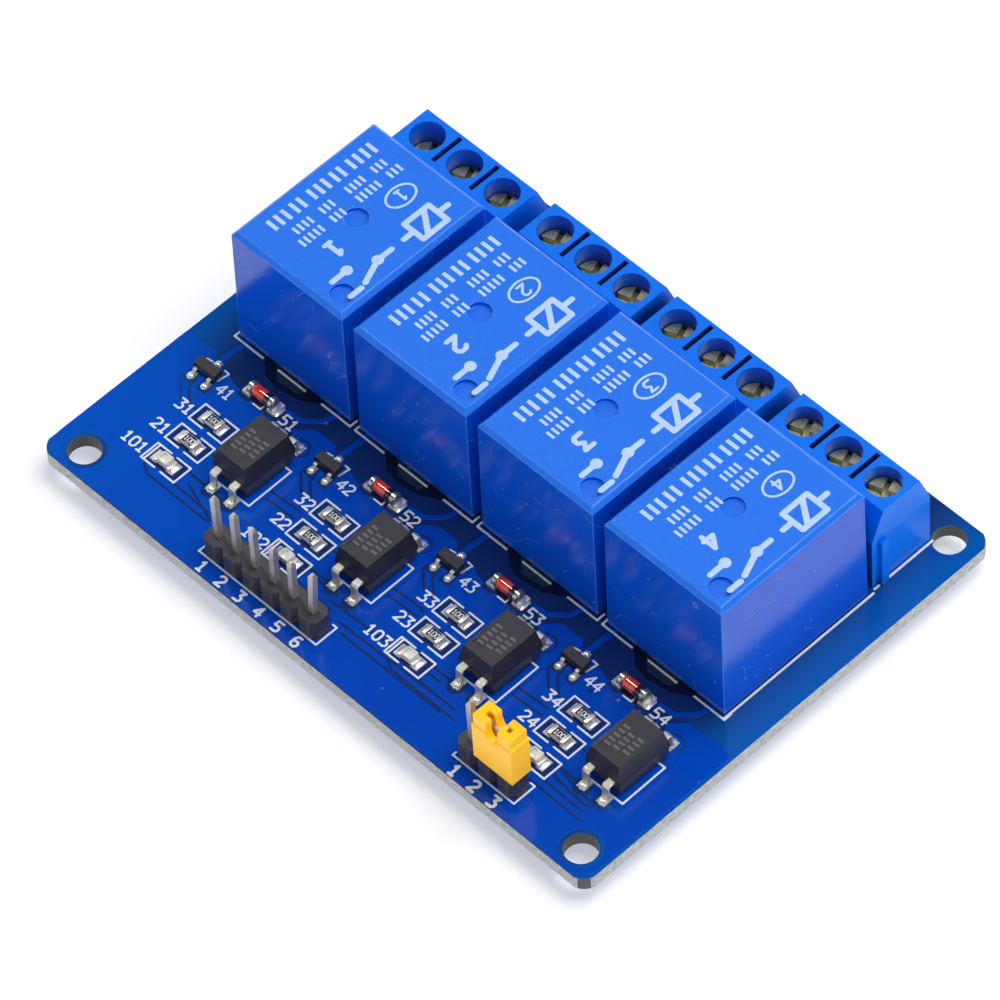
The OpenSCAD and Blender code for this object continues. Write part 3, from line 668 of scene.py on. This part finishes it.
def relay_label(channel):
    """Outlines of the label as it reads, with the coil at its left end."""
    heavy = 0.6
    # coil with its two ends, then the changeover contact
    made = line(heavy, (-7.0, 5.0), (-5.7, 5.0)) + line(heavy, (-2.5, 5.0), (-1.2, 5.0))
    made += line(heavy, (-5.7, 3.7), (-2.5, 3.7), (-2.5, 6.3), (-5.7, 6.3), (-5.7, 3.7))
    made += line(heavy, (-4.9, 3.9), (-3.3, 6.1))
    made += line(heavy, (0.4, 5.0), (2.2, 5.0), (4.9, 6.1)) + [disc((2.2, 5.0), 0.6, 24)]
    made += line(heavy, (5.1, 3.8), (7.0, 3.8)) + [disc((5.1, 3.8), 0.6, 24)]
    made += line(heavy, (5.6, 6.3), (7.0, 6.3))
    # the channel's number in an oval ring, and a row of heavy ticks
    made += number(channel, (-5.1, 0.35), 1.3, 0.26)
    oval = [(-4.7 + 1.7 * math.cos(a * math.tau / 28), 1.0 + 1.15 * math.sin(a * math.tau / 28))
            for a in range(28)]
    made += line(0.24, *oval, oval[0])
    made += number(channel, (3.6, 0.2), 1.8, 0.5)
    for row, groups in ((-1.6, ((-7.0, 3), (-4.2, 5), (0.4, 3), (3.2, 5))),
                        (-3.1, ((-6.4, 3), (-3.6, 4), (0.4, 3), (3.2, 4)))):
        for start, count in groups:
            made += ticks((start, row), count, 1.0, 0.3, 0.62)
    for start, count in ((-6.9, 4), (-2.9, 2), (-0.9, 3), (2.3, 2), (4.3, 3)):
        made += ticks((start, -5.2), count, 1.5, 0.42, 0.92)
    return made


for k in range(4):
    low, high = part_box(f"relay_case_{k + 1}")
    label = thin_plate(relay_label(k + 1), print_rise)
    bmesh.ops.transform(label, verts=label.verts, matrix=(
        Matrix.Translation(((low.x + high.x) / 2, (low.y + high.y) / 2, high.z))
        @ Matrix.Rotation(math.radians(-90), 4, "Z")))
    add_piece(f"relay_print_{k + 1}", label, [pad_ink])


def dress(material, *nodes):
    """The nodes whose shape is right as it is get their finish."""
    for node in nodes:
        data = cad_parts[node].data
        if not data.materials:
            data.materials.append(material)
        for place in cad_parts[node].material_slots:
            place.material = material


def metal_finish(name, first, second, rough_low, rough_high, cloud=600, bump=0.002,
                 metallic=0.7):
    """Plated metal whose colour and sheen change a little over the surface."""
    material, tree, shader = add_finish(name, first, rough_low, metallic)
    marks = wear(tree, Cloud_Scale=cloud, Grain_Scale=cloud * 3)
    tree.links.new(blend_colours(tree, marks["Cloud"], first, second),
                   shader.inputs["Base Color"])
    tree.links.new(rescale(tree, marks["Cloud"], rough_low, rough_high),
                   shader.inputs["Roughness"])
    add_bump(tree, shader, marks["Grain"], bump)
    return material


inner_blue = clouded_finish("Relay base plastic", card(12, 54, 156), card(18, 66, 182), 0.4,
                            300)
dress(inner_blue, "relay_bases")
iron = metal_finish("Plated iron", card(186, 184, 176), card(204, 202, 194), 0.3, 0.45)
dress(iron, "relay_yokes", *[f"relay_armature_{k + 1}" for k in range(4)])
spring_brass = metal_finish("Contact brass", card(206, 172, 110), card(222, 190, 130), 0.3, 0.4)
dress(spring_brass, "relay_fixed_contacts")
tinned = metal_finish("Tinned brass", card(172, 168, 160), card(206, 202, 194), 0.22, 0.38)
dress(tinned, "relay_coil_pins", "input_header_pins", "supply_header_pins", "jumper_clip")
copper_wire, wire_tree, wire_shader = add_finish(
    "Enamelled copper", card(190, 104, 50), 0.3, metallic=0.9)
turns = add_node(wire_tree, "ShaderNodeTexWave", {
    "Vector": place_on_piece(wire_tree), "Scale": 2500, "Distortion": 0.2},
    bands_direction="Z").outputs["Fac"]
wire_tree.links.new(blend_colours(wire_tree, turns, card(150, 78, 34), card(206, 118, 62)),
                    wire_shader.inputs["Base Color"])
add_bump(wire_tree, wire_shader, turns, 0.03)
dress(copper_wire, "relay_windings")


def moulding_finish(name, first, second, roughness, grain=6000, bump=0.006, **values):
    """Moulded plastic with a fine grain and a little dust."""
    material, tree, shader = add_finish(name, first, roughness, **values)
    marks = wear(tree, Cloud_Scale=400, Grain_Scale=grain, Dust_Scale=900, Dust_Amount=0.05)
    body = blend_colours(tree, marks["Cloud"], first, second)
    tree.links.new(blend_colours(tree, rescale(tree, marks["Dust"], 0, 0.25), body,
                                 card(200, 205, 215)), shader.inputs["Base Color"])
    add_bump(tree, shader, marks["Grain"], bump)
    return material


black_plastic = moulding_finish("Black header plastic", card(46, 44, 50), card(58, 56, 62),
                                0.42)
dress(black_plastic, "relay_bobbins")

# ---- Screw terminals
# Blue mouldings of three poles, pushed together by hand. Each well holds a box frame of tinned
# steel with a clamp plate, and a screw whose plating has yellowed a little.
terminal_blue = moulding_finish("Terminal plastic", card(0, 116, 246), card(0, 130, 252), 0.3,
                                Specular_IOR_Level=0.3)
# painted shade: the deep wells and the slots are painted darker towards the bottom, where the
# occlusion node finds them closed in
blue_tree = terminal_blue.node_tree
blue_base = blue_tree.nodes["Principled BSDF"].inputs["Base Color"]
well_occlusion = add_node(blue_tree, "ShaderNodeAmbientOcclusion", {"Distance": 3 * mm}, samples=8)
clear_of_painted_shade = rescale(blue_tree, well_occlusion.outputs["AO"], 0, 1, 0.15, 0.6)
blue_tree.links.new(
    blend_colours(blue_tree, clear_of_painted_shade, card(0, 42, 120), blue_base.links[0].from_socket),
    blue_base)
for k in range(4):
    add_piece(f"terminal_{k + 1}", merged_copy(f"terminal_housing_{k + 1}"), [terminal_blue],
              [f"terminal_housing_{k + 1}"], rounding=0.08)
tinned_steel = metal_finish("Tinned steel", card(206, 206, 200), card(226, 226, 220), 0.28,
                            0.4)
dress(tinned_steel, "terminal_frames", *[f"clamp_plate_{n + 1}" for n in range(12)])
screw_steel = metal_finish("Yellowed plating", card(176, 174, 118), card(238, 230, 186), 0.2,
                           0.38, 900, 0.015, metallic=0.9)
dress(screw_steel, *[f"terminal_screw_{n + 1}" for n in range(12)])

# ---- Pin headers and jumper
# Black eight-sided cells moulded in a row on square tinned pins. A yellow cap holds a spring
# clip that joins two of the supply pins; a faint orange glow is painted on its plastic,
# standing in for the light that the cap lets through.
for name in ("input_header", "supply_header"):
    add_piece(name, merged_copy(f"{name}_housing"), [black_plastic],
              [f"{name}_housing"], rounding=0.06)
# painted light: the yellow plastic glows faintly orange, standing in for light let through the
# cap
yellow = moulding_finish("Yellow cap plastic", card(255, 214, 26), card(255, 202, 18), 0.25,
                         Emission_Color=card(255, 150, 0), Emission_Strength=0.3)
add_piece("jumper", merged_copy("jumper_cap"), [yellow], ["jumper_cap"],
          rounding=0.1, segments=3)

# ---- Optocouplers and transistors
# Chips moulded in matt black compound, with tinned leads bent down to their pads. The
# couplers carry a block of plain grey bars.
compound = moulding_finish("Chip compound", card(32, 29, 38), card(44, 40, 48), 0.4, 5000,
                           0.008)
add_piece("couplers", merged_copy("optocouplers"), [compound], ["optocouplers"],
          rounding=0.08)
add_piece("switch_transistors", merged_copy("transistors"), [compound],
          ["transistors"], rounding=0.05)
bright_tin = metal_finish("Bright tinned lead", card(206, 203, 192), card(234, 231, 220), 0.24,
                          0.4, metallic=0.6)
add_piece("coupler_leads", merged_copy("optocoupler_leads"), [bright_tin],
          ["optocoupler_leads"], rounding=0.1)
add_piece("switch_leads", merged_copy("transistor_leads"), [bright_tin],
          ["transistor_leads"], rounding=0.05)
grey_print = clouded_finish("Faint grey print", card(84, 78, 80), card(116, 110, 108), 0.6,
                            2500)
bars = []
for x in channels:
    for row, count in enumerate((5, 4, 4)):
        for i in range(count):
            at = (x + 4.95 + (row - 1), -16.2 + 0.62 * i + 0.2 * row)
            bars.append(rectangle(at, 0.75, 0.3))
add_piece("coupler_print", thin_plate(bars, print_rise), [grey_print],
          lift=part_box("optocouplers")[1].z)

# ---- Diodes
# A glass bead, orange red from the chip inside, is sealed between two tinned caps. A black
# band marks one end.
low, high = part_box("diodes")
diode_y, diode_z = (low.y + high.y) / 2, (low.z + high.z) / 2


def turned(form, profile, x):
    """A solid of revolution round the diode's axis from (along, radius) pairs in mm."""
    before = set(form.verts)
    verts = [form.verts.new((u * mm, 0, r * mm)) for u, r in profile]
    edges = [form.edges.new(pair) for pair in zip(verts, verts[1:])]
    bmesh.ops.spin(form, geom=verts + edges, cent=(0, 0, 0), axis=(1, 0, 0), dvec=(0, 0, 0),
                   angle=math.tau, steps=24, use_merge=True)
    fresh = [v for v in form.verts if v not in before]
    bmesh.ops.remove_doubles(form, verts=fresh, dist=0.001 * mm)
    fresh = [v for v in form.verts if v not in before]
    bmesh.ops.translate(form, vec=(x * mm, diode_y, diode_z), verts=fresh)


caps, beads, bands = bmesh.new(), bmesh.new(), bmesh.new()
for x in channels:
    for side in (-1, 1):
        turned(caps, [(side * a, r) for a, r in (
            (1.12, 0), (1.12, 0.64), (1.18, 0.72), (1.6, 0.72), (1.72, 0.62), (1.75, 0.4),
            (1.75, 0))], x + diode_x)
    turned(beads, ((-1.14, 0), (-1.14, 0.56), (-1.0, 0.63), (-0.8, 0.65), (0.45, 0.65),
                   (0.45, 0)), x + diode_x)
    turned(bands, ((0.45, 0), (0.45, 0.65), (0.85, 0.65), (1.0, 0.63), (1.14, 0.56),
                   (1.14, 0)), x + diode_x)
for form in (caps, beads, bands):
    bmesh.ops.recalc_face_normals(form, faces=form.faces)
cap_metal = metal_finish("Diode cap", card(150, 146, 138), card(214, 210, 200), 0.14, 0.3, 700,
                         metallic=0.85)
add_piece("diode_caps", caps, [cap_metal], ["diodes"])
for piece_name, name, first, second, form in (
        ("diode_glass", "Orange red glass", card(240, 28, 4), card(255, 92, 20), beads),
        ("diode_bands", "Black band on glass", card(18, 10, 10), card(52, 16, 12), bands)):
    glass, glass_tree, glass_shader = add_finish(name, first, 0.08, Coat_Weight=1.0,
                                                 Coat_Roughness=0.04)
    streak = rescale(glass_tree, wear(glass_tree, Cloud_Scale=1100)["Cloud"], 0, 1, 0.35, 0.65)
    glass_tree.links.new(blend_colours(glass_tree, streak, first, second),
                         glass_shader.inputs["Base Color"])
    add_piece(piece_name, form, [glass])

# ---- Chip resistors and lamps
# Alumina chips with a black glaze, a plain number and silvered ends. Each lamp is a cream lens
# on a white chip, with a green mark at one end.
low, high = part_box("resistors")
base_z, top_z = low.z / mm, high.z / mm


def block(form, low, high, rounding):
    """A block between two corners in mm, with rounded edges."""
    low, high = Vector(low) * mm, Vector(high) * mm
    made = bmesh.ops.create_cube(form, size=1, matrix=(
        Matrix.Translation((low + high) / 2) @ Matrix.Diagonal((*(high - low), 1))))
    edges = list(dict.fromkeys(edge for vert in made["verts"] for edge in vert.link_edges))
    bmesh.ops.bevel(form, geom=edges, offset=rounding * mm, affect="EDGES", segments=2,
                    profile=0.5, material=-1)


glaze, alumina, ends = (bmesh.new() for _ in range(3))
values = []
for x in channels:
    for dx, y in chip_spots[1:]:
        at = x + dx
        block(alumina, (at - 0.9, y - 0.58, base_z + 0.03),
              (at + 0.9, y + 0.58, top_z - 0.07), 0.03)
        block(glaze, (at - 0.6, y - 0.52, top_z - 0.1),
              (at + 0.6, y + 0.52, top_z - 0.01), 0.03)
        for side in (-1, 1):
            block(ends, (at + side * 0.82 - 0.2, y - 0.62, base_z),
                  (at + side * 0.82 + 0.2, y + 0.62, top_z), 0.06)
        values += number(100, (at - 0.5, y - 0.26), 0.52, 0.085, pitch=0.78)
glaze_black = moulding_finish("Black glaze", card(26, 24, 24), card(38, 35, 34), 0.3)
ceramic = moulding_finish("White alumina", card(214, 210, 200), card(232, 228, 218), 0.5)
add_piece("resistor_bodies", alumina, [ceramic], ["resistors"])
add_piece("resistor_glaze", glaze, [glaze_black])
add_piece("resistor_ends", ends, [bright_tin])
add_piece("resistor_numbers", thin_plate(values, print_rise), [ink],
          lift=(top_z - 0.012) * mm)

low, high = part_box("indicator_lamps")
base_z, top_z = low.z / mm, high.z / mm
lens_form, lamp_base, lamp_ends = (bmesh.new() for _ in range(3))
green_shapes = []
for x in channels:
    at, y = x + chip_spots[0][0], chip_spots[0][1]
    block(lamp_base, (at - 0.95, y - 0.6, base_z), (at + 0.95, y + 0.6, base_z + 0.28), 0.03)
    block(lens_form, (at - 0.64, y - 0.6, base_z + 0.26), (at + 0.64, y + 0.6, top_z), 0.12)
    for side in (-1, 1):
        block(lamp_ends, (at + side * 0.84 - 0.17, y - 0.62, base_z),
              (at + side * 0.84 + 0.17, y + 0.62, base_z + 0.31), 0.05)
    green_shapes += line(0.14, (at - 0.38, y + 0.4), (at - 0.38, y - 0.2))
    green_shapes += line(0.14, (at - 0.38, y + 0.3), (at - 0.05, y + 0.3))
cream = moulding_finish("Cream lens", card(236, 230, 212), card(248, 242, 226), 0.2)
add_piece("lamp_lenses", lens_form, [cream], ["indicator_lamps"])
add_piece("lamp_bases", lamp_base, [ceramic])
add_piece("lamp_ends", lamp_ends, [bright_tin])
green = moulding_finish("Green mark", card(96, 196, 160), card(140, 210, 180), 0.4)
add_piece("lamp_marks", thin_plate(green_shapes, print_rise), [green],
          lift=(top_z - 0.002) * mm)

# ---- Solder
# Bright tin-lead solder: it wets each pad, climbs the chip ends and leads in a hollow curve,
# and stands in a cone round each pin on the underside.
solder = metal_finish("Bright solder", card(206, 206, 202), card(248, 247, 242), 0.16, 0.36,
                      400, 0.006, metallic=0.6)
dress(solder, "solder_joints")
fillets = bmesh.new()
pad_z = board_high.z / mm + 0.09


def fillet(x, y, reach, half, rise):
    """Solder from a chip's end down to its pad's tip; a negative reach goes towards -X."""
    base = bmesh.ops.create_grid(fillets, x_segments=6, y_segments=6, size=1)["verts"]
    crust = bmesh.ops.extrude_face_region(
        fillets, geom=list(dict.fromkeys(f for v in base for f in v.link_faces)))["geom"]
    crust = [item for item in crust if isinstance(item, bmesh.types.BMVert)]
    for vert in base + crust:
        u, v = (vert.co.x + 1) / 2, vert.co.y
        climb = rise * (1 - u) ** 1.8 * (1 - v ** 4) + 0.03 * (1 - u * u) * (1 - v ** 2)
        vert.co = Vector((x + u * reach, y + v * half * (1 - 0.2 * u * u),
                          pad_z - 0.05 if vert in base else pad_z + climb)) * mm


def mound(x, y, rx, ry, rz):
    """A rounded heap of solder round a lead's foot."""
    fresh = bmesh.ops.create_uvsphere(fillets, u_segments=16, v_segments=10, radius=1, matrix=(
        Matrix.Translation((x * mm, y * mm, pad_z * mm))
        @ Matrix.Diagonal((rx * mm, ry * mm, rz * mm, 1))))["verts"]
    geom = list(dict.fromkeys(
        fresh + [item for v in fresh for item in (*v.link_edges, *v.link_faces)]))
    cut = bmesh.ops.bisect_plane(fillets, geom=geom, plane_co=(0, 0, (pad_z - 0.08) * mm),
                                 plane_no=(0, 0, -1), clear_outer=True)["geom_cut"]
    rim = [item for item in cut if isinstance(item, bmesh.types.BMEdge)]
    bmesh.ops.contextual_create(fillets, geom=rim)


for x in channels:
    for dx, dy in chip_spots:
        rise = 0.25 if dy == chip_spots[0][1] else 0.4
        for side in (-1, 1):
            fillet(x + dx + side * 0.98, dy, side * 0.56, 0.64, rise)
    for side in (-1, 1):
        fillet(x + diode_x + side * 1.7, -8.45, side * 0.7, 0.75, 0.55)
        for far in (-1, 1):
            mound(x + coupler_x + side * coupler_lead, coupler_y + far * 4.45, 0.5, 0.62, 0.3)
        mound(x + transistor_x + side * transistor_lead, -11.2, 0.42, 0.5, 0.3)
    mound(x + transistor_x, -8.5, 0.42, 0.45, 0.3)
bmesh.ops.recalc_face_normals(fillets, faces=fillets.faces)
add_piece("solder_fillets", fillets, [solder])

low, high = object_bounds()
